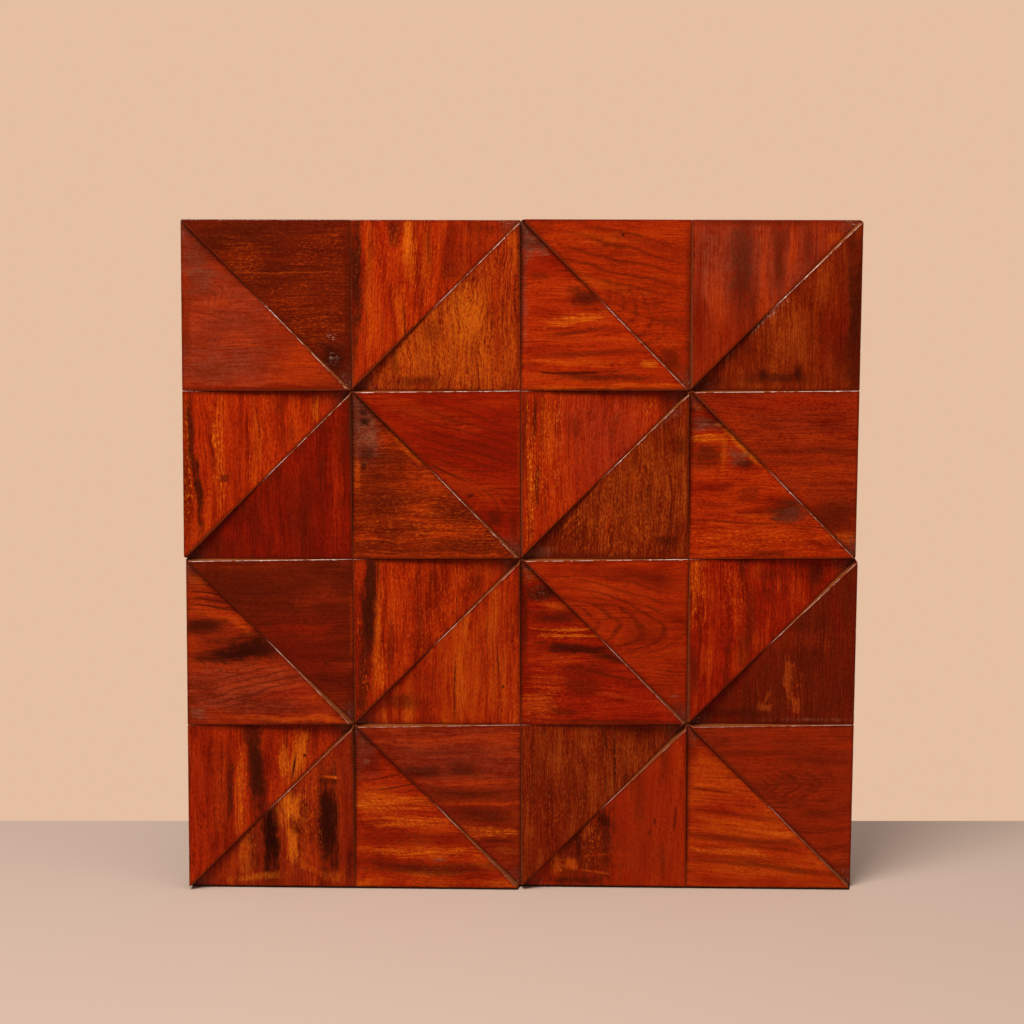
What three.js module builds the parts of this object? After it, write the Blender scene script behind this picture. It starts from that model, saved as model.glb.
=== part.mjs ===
import * as THREE from 'three';
import { ConvexGeometry } from 'three/addons/geometries/ConvexGeometry.js';

// A square wall panel of lacquered hardwood. Four rows of four squares are each sawn in two along
// a diagonal, and every half is the same wedge block, turned: its face slopes along the saw cut,
// from a low tip to a high one. Neighbours slope opposite ways, so tips meet high against low round
// each pinwheel point, and blocks are level with each other where their square corners meet. The
// side of a block that stands above its neighbour is eased back by sanding, most at the high tip.
// Millimetres, +Z up. The front faces -Y, and the origin is the middle of the flat back.

// Driving dimensions
const SQUARES_PER_SIDE = 4;
const SQUARE_PITCH = 152.5; // four make a 610 mm, two foot, panel
const BOARD_THICKNESS = 9;
const BOARD_INSET = 3; // the board's edge stands back from the blocks' outer sides
const BOARD_CORNER_RADIUS = 2;
const BOARD_ARRIS = 0.8;
const LOW_TIP_HEIGHT = 12;
const HIGH_TIP_HEIGHT = 22;
const GLUE_LINE = 0.3; // between the board and a block's back
const SAW_JOINT = 0.6; // between two blocks
const EASING = 2.2; // how far the face stands back at the high tip, where a neighbour is low
const ARRIS_RADIUS = 0.8; // worn edge round a block's face
const TIP_RADIUS = 1; // worn upright corner of a block
const ARC_STEPS = 2;

const RISE = HIGH_TIP_HEIGHT - LOW_TIP_HEIGHT;
const MID_HEIGHT = LOW_TIP_HEIGHT + RISE / 2;
const HALF_PANEL = (SQUARES_PER_SIDE * SQUARE_PITCH) / 2;
const HALF_JOINT = SAW_JOINT / 2;
const BLOCK_BACK = -BOARD_THICKNESS - GLUE_LINE;

const LACQUER = { roughness: 0.3, metalness: 0 };
const TONES = {
  dark_brown: { color: 0x3b140a, ...LACQUER },
  red_brown: { color: 0x6e2412, ...LACQUER },
  red: { color: 0x8c2a0e, ...LACQUER },
  orange: { color: 0xb0450f, ...LACQUER },
  golden: { color: 0x94491a, ...LACQUER },
};
const PLYWOOD = { color: 0xb08d62, roughness: 0.8, metalness: 0 };

// The stained tone of each square's two halves, row by row from the top, left half first
const SQUARE_TONES = [
  [['red_brown', 'dark_brown'], ['orange', 'golden'], ['orange', 'orange'], ['red_brown', 'dark_brown']],
  [['orange', 'red'], ['dark_brown', 'red'], ['red', 'golden'], ['orange', 'red_brown']],
  [['red_brown', 'dark_brown'], ['orange', 'golden'], ['red', 'red'], ['red', 'dark_brown']],
  [['orange', 'dark_brown'], ['orange', 'red_brown'], ['dark_brown', 'red'], ['orange', 'red_brown']],
];

// The halves of a square, by which way its saw cut runs. Each names its side, the corner of the
// square that its own square corner takes, the quarter turns of the block there, counted the way
// that X turns to Z, and the neighbour that its eased leg faces, as columns right and rows down.
const FALLING_CUT = [
  { side: 'lower_left', corner: [0, 0], quarterTurns: 0, facing: [0, 1] },
  { side: 'upper_right', corner: [1, 1], quarterTurns: 2, facing: [0, -1] },
];
const RISING_CUT = [
  { side: 'upper_left', corner: [0, 1], quarterTurns: -1, facing: [-1, 0] },
  { side: 'lower_right', corner: [1, 0], quarterTurns: 1, facing: [1, 0] },
];

// A block's own plan, seen from the front: square corner at 0, high tip along X, low tip along Z
const SQUARE_CORNER = new THREE.Vector2(0, 0);
const HIGH_TIP = new THREE.Vector2(SQUARE_PITCH, 0);
const LOW_TIP = new THREE.Vector2(0, SQUARE_PITCH);
const CUT_MIDDLE = LOW_TIP.clone().lerp(HIGH_TIP, 0.5);

// The sloping face's height over the block's back, at a point of the plan
function faceHeight(point) {
  return MID_HEIGHT + (RISE * (point.x - point.y)) / (2 * SQUARE_PITCH);
}

// Where the line through a and b meets the line through c and d
function meet(a, b, c, d) {
  const along = b.clone().sub(a);
  const across = d.clone().sub(c);
  const gap = c.clone().sub(a);
  return a.clone().addScaledVector(along, gap.cross(across) / along.cross(across));
}

// The outline whose sides lie inside those of the given one, which runs clockwise, by a distance
function insetOutline(corners, distance) {
  const sides = corners.map((start, i) => {
    const end = corners[(i + 1) % corners.length];
    const inward = new THREE.Vector2(end.y - start.y, start.x - end.x).setLength(distance);
    return [start.clone().add(inward), end.clone().add(inward)];
  });
  return sides.map((side, i) => meet(...sides[(i + corners.length - 1) % corners.length], ...side));
}

// The outline with an arc in place of each corner
function roundedOutline(corners, radius) {
  const cornerAt = (i) => corners[(i + corners.length) % corners.length];
  const directionTo = (corner, i) => cornerAt(i).clone().sub(corner).normalize();
  return corners.flatMap((corner, i) => {
    const toNext = directionTo(corner, i + 1);
    const toLast = directionTo(corner, i - 1);
    const halfAngle = Math.acos(toNext.dot(toLast)) / 2;
    const bisector = toNext.clone().add(toLast).normalize();
    const centre = corner.clone().addScaledVector(bisector, radius / Math.sin(halfAngle));
    const spread = Math.PI / 2 - halfAngle;
    const from = bisector.angle() + Math.PI - spread;
    const arc = new THREE.EllipseCurve(centre.x, centre.y, radius, radius, from, from + 2 * spread);
    return arc.getPoints(ARC_STEPS);
  });
}

// The face's outline before its arris is rounded. The two sides that end at the high tip stand back
// from the saw joint by the easing there, and a leg on the panel's own edge isn't eased.
function faceOutline(sawnOutline, legIsEased) {
  const [lowTip, highTip, squareCorner] = sawnOutline;
  const middle = CUT_MIDDLE.clone().setLength(CUT_MIDDLE.length() - HALF_JOINT);
  const cutEnd = highTip.clone().add(CUT_MIDDLE.clone().setLength(-EASING));
  const legEnd = highTip.clone().add(new THREE.Vector2(0, legIsEased ? EASING : 0));
  return [lowTip, middle, meet(middle, cutEnd, squareCorner, legEnd), squareCorner];
}

// One wedge block: flat back, upright sawn sides, eased sides, a quarter-round arris and the slope
function wedgeGeometry(legIsEased) {
  const sawnOutline = insetOutline([LOW_TIP, HIGH_TIP, SQUARE_CORNER], HALF_JOINT);
  const face = faceOutline(sawnOutline, legIsEased);
  const raise = (outline, heightAt) =>
    outline.map((point) => new THREE.Vector3(point.x, -heightAt(point), point.y));
  const sawn = roundedOutline(sawnOutline, TIP_RADIUS);
  const neighbourHeight = (point) => 2 * MID_HEIGHT - faceHeight(point);
  const sillHeight = (point) => Math.min(neighbourHeight(point), faceHeight(point) - ARRIS_RADIUS);

  const points = [...raise(sawn, () => 0), ...raise(sawn, sillHeight)];
  for (let step = 0; step <= ARC_STEPS; step += 1) {
    const turn = (step / ARC_STEPS) * (Math.PI / 2);
    const inset = ARRIS_RADIUS * (1 - Math.cos(turn));
    const drop = ARRIS_RADIUS * (1 - Math.sin(turn));
    const outline = roundedOutline(inset > 0 ? insetOutline(face, inset) : face, TIP_RADIUS - inset / 2);
    points.push(...raise(outline, (point) => faceHeight(point) - drop));
  }
  return new ConvexGeometry(points);
}

const INNER_WEDGE = wedgeGeometry(true);
const RIM_WEDGE = wedgeGeometry(false);

function makeBlock(row, column, half, tone) {
  const [stepRight, stepDown] = half.facing;
  const inPanel = (index) => index >= 0 && index < SQUARES_PER_SIDE;
  const hasNeighbour = inPanel(column + stepRight) && inPanel(row + stepDown);
  const geometry = hasNeighbour ? INNER_WEDGE : RIM_WEDGE;
  const block = new THREE.Mesh(geometry, new THREE.MeshStandardMaterial(TONES[tone]));
  const [right, up] = half.corner;
  block.position.set(
    (column + right) * SQUARE_PITCH - HALF_PANEL,
    BLOCK_BACK,
    HALF_PANEL - (row + 1 - up) * SQUARE_PITCH,
  );
  block.rotation.y = -half.quarterTurns * (Math.PI / 2);
  block.name = `row${row + 1}_col${column + 1}_${half.side}_block`;
  return block;
}

// The plain board that the blocks are glued to, with its back at Y = 0
function makeBoard() {
  const half = HALF_PANEL - HALF_JOINT - BOARD_INSET - BOARD_ARRIS;
  const arcCentre = half - BOARD_CORNER_RADIUS;
  const outline = new THREE.Shape();
  outline.absarc(arcCentre, arcCentre, BOARD_CORNER_RADIUS, 0, Math.PI / 2);
  outline.absarc(-arcCentre, arcCentre, BOARD_CORNER_RADIUS, Math.PI / 2, Math.PI);
  outline.absarc(-arcCentre, -arcCentre, BOARD_CORNER_RADIUS, Math.PI, 1.5 * Math.PI);
  outline.absarc(arcCentre, -arcCentre, BOARD_CORNER_RADIUS, 1.5 * Math.PI, 2 * Math.PI);
  const geometry = new THREE.ExtrudeGeometry(outline, {
    depth: BOARD_THICKNESS - 2 * BOARD_ARRIS,
    bevelThickness: BOARD_ARRIS,
    bevelSize: BOARD_ARRIS,
    bevelSegments: 1,
    curveSegments: ARC_STEPS,
  });
  geometry.translate(0, 0, BOARD_ARRIS);
  geometry.rotateX(Math.PI / 2);
  const board = new THREE.Mesh(geometry, new THREE.MeshStandardMaterial(PLYWOOD));
  board.name = 'backing_board';
  return board;
}

const group = new THREE.Group();
group.add(makeBoard());
for (let row = 0; row < SQUARES_PER_SIDE; row += 1) {
  for (let column = 0; column < SQUARES_PER_SIDE; column += 1) {
    const halves = (row + column) % 2 === 0 ? FALLING_CUT : RISING_CUT;
    halves.forEach((half, i) => group.add(makeBlock(row, column, half, SQUARE_TONES[row][column][i])));
  }
}

export default group;
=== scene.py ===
# A square wall panel of lacquered hardwood wedge blocks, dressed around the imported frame.
# Metres, +Z up, the front faces -Y. Sizes of marks in the wood are in millimetres.
import math

import bpy
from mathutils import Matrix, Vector


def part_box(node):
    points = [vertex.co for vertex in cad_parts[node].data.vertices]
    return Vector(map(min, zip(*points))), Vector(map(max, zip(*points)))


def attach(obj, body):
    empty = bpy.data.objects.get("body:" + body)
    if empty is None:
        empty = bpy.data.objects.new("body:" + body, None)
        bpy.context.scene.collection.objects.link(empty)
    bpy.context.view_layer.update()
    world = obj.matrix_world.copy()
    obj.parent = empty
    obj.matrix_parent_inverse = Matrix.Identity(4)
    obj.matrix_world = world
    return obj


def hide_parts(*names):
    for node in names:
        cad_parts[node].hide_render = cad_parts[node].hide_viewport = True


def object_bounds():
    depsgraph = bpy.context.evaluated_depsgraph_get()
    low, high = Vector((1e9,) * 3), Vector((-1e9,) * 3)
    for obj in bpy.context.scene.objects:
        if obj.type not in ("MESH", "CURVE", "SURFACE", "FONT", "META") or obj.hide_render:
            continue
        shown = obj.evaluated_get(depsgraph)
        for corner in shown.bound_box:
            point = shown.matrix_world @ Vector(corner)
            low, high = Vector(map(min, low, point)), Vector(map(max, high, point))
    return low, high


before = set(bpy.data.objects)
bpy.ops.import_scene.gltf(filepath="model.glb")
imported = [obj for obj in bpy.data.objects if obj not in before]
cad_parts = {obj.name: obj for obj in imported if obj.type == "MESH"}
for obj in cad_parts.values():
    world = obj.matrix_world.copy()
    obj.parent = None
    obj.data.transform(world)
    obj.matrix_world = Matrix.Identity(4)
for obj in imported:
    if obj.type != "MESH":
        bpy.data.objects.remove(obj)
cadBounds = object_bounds()
print("frame loaded,", len(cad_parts), "solids")

mm = 0.001


# Node trees


class Wire:  # an output socket that can be used in expressions
    def __init__(self, graph, socket):
        self.graph = graph
        self.socket = socket

    def out(self, name):  # another output of the same node
        return Wire(self.graph, self.socket.node.outputs[name])

    def __add__(self, other):
        return self.graph.maths("ADD", self, other)

    def __radd__(self, other):
        return self.graph.maths("ADD", other, self)

    def __sub__(self, other):
        return self.graph.maths("SUBTRACT", self, other)

    def __rsub__(self, other):
        return self.graph.maths("SUBTRACT", other, self)

    def __mul__(self, other):
        return self.graph.maths("MULTIPLY", self, other)

    def __rmul__(self, other):
        return self.graph.maths("MULTIPLY", other, self)

    def __truediv__(self, other):
        return self.graph.maths("DIVIDE", self, other)

    def __rtruediv__(self, other):
        return self.graph.maths("DIVIDE", other, self)

    def __mod__(self, other):
        return self.graph.maths("FLOORED_MODULO", self, other)


class Graph:  # a node tree being built
    def __init__(self, tree):
        self.tree = tree
        tree.nodes.clear()

    def socketOf(self, sockets, key):
        if isinstance(key, int):
            return sockets[key]
        return next(s for s in sockets if s.name == key and s.enabled)

    def node(self, kind, settings=None, inputs=None, output=0):
        made = self.tree.nodes.new(kind)
        for name, value in (settings or {}).items():
            if name == "items":  # an Index Switch with this many choices
                while len(made.index_switch_items) < value:
                    made.index_switch_items.new()
            elif name == "stops":  # a colour ramp's places and colours
                while len(made.color_ramp.elements) < len(value):
                    made.color_ramp.elements.new(1)
                for stop, (position, colour) in zip(made.color_ramp.elements, value):
                    stop.position = position
                    stop.color = (*colour, 1)
            else:
                setattr(made, name, value)
        for key, value in (inputs or {}).items():
            self.join(value, self.socketOf(made.inputs, key))
        return Wire(self, self.socketOf(made.outputs, output)) if made.outputs else made

    def join(self, value, socket):
        if isinstance(value, Wire):
            self.tree.links.new(value.socket, socket)
        elif socket.type == "RGBA":
            socket.default_value = (*value, 1)
        else:
            socket.default_value = value

    def maths(self, operation, *values):
        return self.node("ShaderNodeMath", {"operation": operation}, dict(enumerate(values)))

    def vector(self, operation, *values, output=0):
        settings = {"operation": operation}
        return self.node("ShaderNodeVectorMath", settings, dict(enumerate(values)), output)

    def scaled(self, vector, amount):
        return self.node("ShaderNodeVectorMath", {"operation": "SCALE"}, {0: vector, 3: amount})

    def combine(self, x, y, z):
        return self.node("ShaderNodeCombineXYZ", {}, {0: x, 1: y, 2: z})

    def separate(self, vector):
        x = self.node("ShaderNodeSeparateXYZ", {}, {0: vector})
        return x, x.out("Y"), x.out("Z")

    def ease(self, value, low, high, start=0.0, end=1.0):  # a smooth step from start to end
        settings = {"interpolation_type": "SMOOTHSTEP"}
        inputs = {0: value, 1: low, 2: high, 3: start, 4: end}
        return self.node("ShaderNodeMapRange", settings, inputs)

    def blend(self, factor, first, second):  # two colours
        inputs = {0: factor, 6: first, 7: second}
        return self.node("ShaderNodeMix", {"data_type": "RGBA"}, inputs, 2)

    def between(self, factor, first, second):  # two vectors
        inputs = {0: factor, 4: first, 5: second}
        return self.node("ShaderNodeMix", {"data_type": "VECTOR"}, inputs, 1)

    def noise(self, vector, detail=2.0, roughness=0.5):
        inputs = {"Vector": vector, "Scale": 1.0, "Detail": detail, "Roughness": roughness}
        return self.node("ShaderNodeTexNoise", {}, inputs)


def newMaterial(name):
    material = bpy.data.materials.new(name)
    material.use_nodes = True
    return material, Graph(material.node_tree)


def giveSurface(graph, surface):
    shader = graph.node("ShaderNodeBsdfPrincipled", {}, surface)
    graph.node("ShaderNodeOutputMaterial", {}, {"Surface": shader})


# The worn wedge block


wedge = {
    "sawJoint": 0.6 * mm,  # between neighbours
    "openJoint": 0.12 * mm,  # what dirt and lacquer have left open of it
    "lowTip": 12 * mm,  # face height over the block's back
    "highTip": 22 * mm,
    "easing": 1.5 * mm,  # how far the face stands back at the high tip
    "wallRoom": 2.6 * mm,  # sawn wall kept free for the deepest chip
    "columnsPerSide": 120,
    "crowding": 0.72,  # how far columns gather at the corners, 0 to 1
    "arrisRadius": 0.55 * mm,
    "arrisWobble": 0.5,  # share of the radius
    "arrisPace": 60.0,  # how fast the radius wanders, per metre
    "chipDepth": 0.7 * mm,
    "chipPace": 210.0,
    "chipRange": (0.6, 0.72),  # of the noise that makes chips
    "tipWear": 0.5 * mm,  # how far a sharp tip is worn back
    "cornerWear": 0.4 * mm,
    "wearReach": 1.35,  # how far round a corner it is worn, as a share of the wear
    "faceWave": 0.12 * mm,
    "wavePace": 17.0,
    "edgeFall": 0.22 * mm,  # sanding takes more off near the edges
    "fallReach": 6 * mm,
}
squaresPerSide = 4
panelWidth = (cadBounds[1] - cadBounds[0]).x + wedge["sawJoint"]
squarePitch = panelWidth / squaresPerSide
panelHalf = panelWidth / 2
levelFront = cadBounds[0].y + (wedge["highTip"] - wedge["lowTip"]) / 2  # where faces are level

# Rows of the block's skin from the middle of its back to the middle of its face. Level 0 is the
# back, 1 the sill and 2 the face. Turn is the share of the arris passed, inset the way in.
middle = 1000 * mm
skinRows = {
    "level": [0, 0, 0, 0.04, 1] + [2] * 13,
    "turn": [0, 0, 0, 0, 0] + [0, 0.25, 0.5, 0.75, 1] + [1] * 8,
    "inset": [middle, 0.6 * mm, 0.15 * mm, 0, 0]
    + [0] * 5
    + [0.5 * mm, 1.5 * mm, 3.5 * mm, 7 * mm, 12 * mm, 20 * mm, 31 * mm, middle],
}


skinSizes = ["arrisRadius", "arrisWobble", "chipDepth", "tipWear", "cornerWear"]
skinSizes += ["faceWave", "edgeFall", "crowding"]


def makeBlockTree():
    tree = bpy.data.node_groups.new("worn wedge block", "GeometryNodeTree")
    face = tree.interface
    face.new_socket(name="Blank", in_out="INPUT", socket_type="NodeSocketGeometry")
    sizes = [*skinSizes, "inradius", "seed"]
    for name in sizes:
        face.new_socket(name=name, in_out="INPUT", socket_type="NodeSocketFloat")
    face.new_socket(name="columnsPerSide", in_out="INPUT", socket_type="NodeSocketInt")
    face.new_socket(name="wood", in_out="INPUT", socket_type="NodeSocketMaterial")
    face.new_socket(name="Block", in_out="OUTPUT", socket_type="NodeSocketGeometry")
    graph = Graph(tree)
    given = graph.node("NodeGroupInput", output="Blank")
    size = {name: given.out(name) for name in [*sizes, "columnsPerSide", "wood"]}
    rows = len(skinRows["level"])
    columns = size["columnsPerSide"] * 4 + 1
    gridInputs = {"Size X": 1.0, "Size Y": 1.0, "Vertices X": columns, "Vertices Y": rows}
    grid = graph.node("GeometryNodeMeshGrid", {}, gridInputs, "Mesh")
    across, up, _ = graph.separate(graph.node("GeometryNodeInputPosition"))
    around = (across + 0.5) * 4
    row = graph.maths("ROUND", (up + 0.5) * (rows - 1))

    def perRow(values):
        inputs = {"Index": row}
        inputs.update({str(i): value for i, value in enumerate(values)})
        settings = {"data_type": "FLOAT", "items": len(values)}
        return graph.node("GeometryNodeIndexSwitch", settings, inputs)

    level = perRow(skinRows["level"])
    turn = perRow(skinRows["turn"])
    inset = perRow(skinRows["inset"])

    side = graph.maths("MINIMUM", graph.maths("FLOOR", around + 0.0001), 3)
    even = graph.maths("MAXIMUM", graph.maths("MINIMUM", around - side, 1), 0)
    along = even - size["crowding"] * graph.maths("SINE", even * math.tau) / math.tau
    nextSide = (side + 1) % 4
    position = graph.node("GeometryNodeInputPosition")

    def corner(index):
        inputs = {"Geometry": given, "Value": position, "Index": index}
        return graph.node("GeometryNodeSampleIndex", {"data_type": "FLOAT_VECTOR"}, inputs)

    def outline(number):
        return graph.between(along, corner(side + 4 * number), corner(nextSide + 4 * number))

    toSill = graph.maths("MINIMUM", level, 1)
    toFace = graph.maths("MAXIMUM", level - 1, 0)
    edge = graph.between(toFace, graph.between(toSill, outline(0), outline(1)), outline(2))
    centre = graph.between(graph.maths("GREATER_THAN", level, 0.5), corner(12), corner(13))

    # Tips and corners are worn back towards the middle of the block
    span = graph.vector("DISTANCE", corner(side + 8), corner(nextSide + 8), output="Value")
    toCorner = graph.maths("MINIMUM", along, 1 - along) * span
    nearest = (side + graph.maths("ROUND", along)) % 4
    tip = size["tipWear"]
    worn = {"Index": nearest, "0": tip, "1": 0.0, "2": tip, "3": size["cornerWear"]}
    wear = graph.node("GeometryNodeIndexSwitch", {"data_type": "FLOAT", "items": 4}, worn)
    reach = toCorner / (wear * wedge["wearReach"] + 0.00001)
    away = graph.vector("MULTIPLY", graph.vector("SUBTRACT", centre, edge), (1, 0, 1))
    inward = graph.vector("NORMALIZE", away)
    blunt = wear * graph.maths("EXPONENT", 0 - reach * reach)
    edge = graph.vector("ADD", edge, graph.scaled(inward, blunt))

    # The arris is a quarter round whose radius wanders, with small chips
    seedShift = graph.combine(size["seed"] * 3.7, size["seed"] * 1.3, size["seed"] * 2.1)
    spot = graph.vector("ADD", outline(2), seedShift)
    wander = graph.noise(graph.scaled(spot, wedge["arrisPace"]), 2.0, 0.6)
    chipped = graph.noise(graph.scaled(spot, wedge["chipPace"]), 1.0, 0.5)
    radius = size["arrisRadius"] * (1 + size["arrisWobble"] * (wander - 0.5) * 4)
    radius = radius + size["chipDepth"] * graph.ease(chipped, *wedge["chipRange"])
    angle = turn * (math.pi / 2)
    stepIn = radius * (1 - graph.maths("COSINE", angle))
    drop = radius * (1 - graph.maths("SINE", angle)) * toFace
    shrink = graph.maths("MINIMUM", (stepIn + inset) / size["inradius"], 1)
    place = graph.between(shrink, edge, centre)

    # The face is not dead flat, and falls a little towards its edges
    waveSpot = graph.scaled(graph.vector("ADD", place, seedShift), wedge["wavePace"])
    wave = (graph.noise(waveSpot, 1.0, 0.5) - 0.5) * 4 * size["faceWave"] * turn
    fromEdge = graph.maths("MINIMUM", inset, size["inradius"]) * turn
    fall = size["edgeFall"] * graph.maths("EXPONENT", 0 - fromEdge / wedge["fallReach"])
    fall = fall * toFace
    place = graph.vector("ADD", place, graph.combine(0.0, drop + wave + fall, 0.0))

    # What the wood reads from the skin
    noted = grid
    for name, value in {"fromEdge": fromEdge / mm, "onSide": 1 - turn}.items():
        settings = {"data_type": "FLOAT", "domain": "POINT"}
        inputs = {"Geometry": noted, "Name": name, "Value": value}
        noted = graph.node("GeometryNodeStoreNamedAttribute", settings, inputs)

    moved = graph.node("GeometryNodeSetPosition", {}, {"Geometry": noted, "Position": place})
    inputs = {"Geometry": moved, "Distance": 0.001 * mm}
    closed = graph.node("GeometryNodeMergeByDistance", {}, inputs)
    outwards = graph.node("GeometryNodeFlipFaces", {}, {"Mesh": closed})
    inputs = {"Geometry": outwards, "Shade Smooth": True}
    smooth = graph.node("GeometryNodeSetShadeSmooth", {}, inputs)
    real = graph.node("GeometryNodeRealizeInstances", {}, {"Geometry": smooth})
    inputs = {"Geometry": real, "Material": size["wood"]}
    dressed = graph.node("GeometryNodeSetMaterial", {}, inputs)
    graph.node("NodeGroupOutput", {}, {"Block": dressed})
    return tree


# Where a block's corners go in its square, as shares of the pitch right and up, and its grain
halves = {
    "lower_left": {"square": (0, 0), "high": (1, 0), "low": (0, 1), "grain": "level"},
    "upper_right": {"square": (1, 1), "high": (0, 1), "low": (1, 0), "grain": "level"},
    "upper_left": {"square": (0, 1), "high": (0, 0), "low": (1, 1), "grain": "upright"},
    "lower_right": {"square": (1, 0), "high": (1, 1), "low": (0, 0), "grain": "upright"},
}


def crossing(a, alongA, b, alongB):  # of two lines in the plan, by a point and a direction
    gap = b - a
    return a + alongA * (gap.cross(alongB) / alongA.cross(alongB))


def insetOutline(corners, distance):
    lines = []
    for i, start in enumerate(corners):
        along = (corners[(i + 1) % len(corners)] - start).normalized()
        inward = Vector((along.y, -along.x)) * distance
        lines.append((start + inward, along))
    return [crossing(*lines[i - 1], *lines[i]) for i in range(len(lines))]


def makeBlank(name, half, left, bottom, legIsEased):  # the block's corners at three levels
    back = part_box(name)[1].y
    joint = wedge["openJoint"] / 2
    lowTip = Vector((0, squarePitch))
    highTip = Vector((squarePitch, 0))
    lowTip, highTip, square = insetOutline([lowTip, highTip, Vector((0, 0))], joint)
    cutMiddle = (lowTip + highTip) / 2
    outwards = Vector((1, 1)).normalized()
    cutEnd = Vector((squarePitch, 0)) - outwards * wedge["easing"]
    legEnd = Vector((squarePitch, wedge["easing"] if legIsEased else joint))
    faceTip = crossing(cutMiddle, cutEnd - cutMiddle, square, legEnd - square)
    rise = wedge["highTip"] - wedge["lowTip"]
    level = (wedge["highTip"] + wedge["lowTip"]) / 2

    def heightAt(point):
        return level + rise * (point.x - point.y) / (2 * squarePitch)

    def sillAt(point):
        return min(2 * level - heightAt(point), heightAt(point) - wedge["wallRoom"])

    def placed(point, height):
        (squareRight, squareUp), (highRight, highUp) = half["square"], half["high"]
        lowRight, lowUp = half["low"]
        across = squareRight * squarePitch + point.x * (highRight - squareRight)
        across += point.y * (lowRight - squareRight)
        up = squareUp * squarePitch + point.x * (highUp - squareUp) + point.y * (lowUp - squareUp)
        return (left + across, back - height, bottom + up)

    sawn = [lowTip, cutMiddle, highTip, square]
    sides = [(highTip - square).length, (lowTip - square).length, (highTip - lowTip).length]
    inradius = (sides[0] + sides[1] - sides[2]) / 2
    centre = square + Vector((inradius, inradius))
    points = [placed(p, 0) for p in sawn]
    points += [placed(p, sillAt(p)) for p in sawn]
    points += [placed(p, heightAt(p)) for p in [lowTip, cutMiddle, faceTip, square]]
    points += [placed(centre, 0), placed(centre, heightAt(centre))]
    mesh = bpy.data.meshes.new(name + "_blank")
    mesh.from_pydata(points, [], [])
    blank = bpy.data.objects.new(name.replace("_block", "_worn_block"), mesh)
    bpy.context.scene.collection.objects.link(blank)
    return blank, inradius


# Wood. Stains, marks and the painted sheen are colours in linear light.
stain = {
    "black": (0.022, 0.0032, 0.0011),
    "soot": (0.048, 0.0055, 0.0014),
    "umber": (0.085, 0.0068, 0.001),
    "cocoa": (0.125, 0.0092, 0.0012),
    "maroon": (0.155, 0.0052, 0.0006),
    "brown": (0.18, 0.0135, 0.001),
    "russet": (0.24, 0.0165, 0.002),
    "red": (0.25, 0.0085, 0.0006),
    "vermilion": (0.33, 0.018, 0.0006),
    "orange": (0.39, 0.031, 0.001),
    "tan": (0.30, 0.040, 0.003),
    "amber": (0.46, 0.058, 0.0014),
    "golden": (0.56, 0.105, 0.003),
    # painted sheen: a greyish tone that stands in for the lacquer's reflection
    "paintedSheen": (0.19, 0.052, 0.025),
    "dust": (0.42, 0.27, 0.2),
}


def patch(right, down, wide, tall, tone, strength=0.6, lean=0.0):
    return {
        "kind": "patch",
        "middle": (right, down),
        "size": (wide, tall),
        "tone": tone,
        "strength": strength,
        "lean": lean,
    }


def flecks(right, down, wide, tall, tone, strength=0.6, lean=0.0):
    return {**patch(right, down, wide, tall, tone, strength, lean), "kind": "flecks"}


def lines(right, down, wide, tall, spacing, tone, strength=0.5, lean=0.0):
    mark = patch(right, down, wide, tall, tone, strength, lean)
    return {**mark, "kind": "lines", "spacing": spacing}


def arches(right, down, wide, tall, spacing, tone, strength=0.5, lean=0.0):  # they point right
    mark = patch(right, down, wide, tall, tone, strength, lean)
    return {**mark, "kind": "arches", "spacing": spacing}


# Each block's wood: the stain's dark, usual and light tone, how streaky it is along the grain,
# how much the streaks sway, the fine pores, the grit of the fibres, the lean of the grain, and
# its own marks. A mark is given by its middle, in millimetres right and down from the top left
# corner of the square, its width and height, its tone, its strength and its lean in degrees.
blockWood = {}
blockWood["row1_col1_lower_left"] = {
    "tones": ("brown", "russet", "orange"),
    "streaks": 0.3,
    "grit": 0.6,
    "marks": [
        patch(42, 78, 80, 96, "paintedSheen", 0.22),
        patch(14, 30, 26, 24, "umber", 0.4),
        patch(16, 52, 22, 20, "umber", 0.5),
        patch(14, 30, 30, 30, "paintedSheen", 0.35),
        patch(18, 52, 22, 18, "paintedSheen", 0.35),
        arches(30, 66, 30, 26, 7, "umber", 0.45, -30),
        lines(24, 84, 46, 14, 5, "umber", 0.4, 12),
        patch(4, 100, 8, 56, "umber", 0.4),
        lines(56, 114, 90, 30, 4.5, "umber", 0.4),
        patch(40, 132, 74, 34, "paintedSheen", 0.3),
        patch(104, 136, 50, 24, "orange", 0.35),
        patch(74, 150, 150, 3, "maroon", 0.6),
    ],
}
blockWood["row1_col1_upper_right"] = {
    "tones": ("umber", "cocoa", "brown"),
    "streaks": 0.4,
    "pores": 0.5,
    "marks": [
        patch(58, 14, 92, 24, "soot", 0.5),
        patch(66, 50, 40, 36, "umber", 0.5),
        patch(98, 46.5, 80, 1.4, "amber", 0.4),
        patch(58, 36, 30, 30, "brown", 0.5),
        flecks(58, 38, 34, 32, "amber", 0.35),
        flecks(118, 30, 50, 30, "orange", 0.45),
        flecks(112, 84, 70, 50, "orange", 0.45),
        flecks(124, 104, 40, 30, "amber", 0.3),
        patch(122, 84, 50, 40, "brown", 0.4),
        patch(136, 122, 24, 26, "black", 0.75),
        flecks(136, 124, 10, 8, "dust", 0.5),
        flecks(134, 104, 6, 6, "dust", 0.5),
        patch(149, 70, 5, 140, "umber", 0.5),
    ],
}
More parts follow.
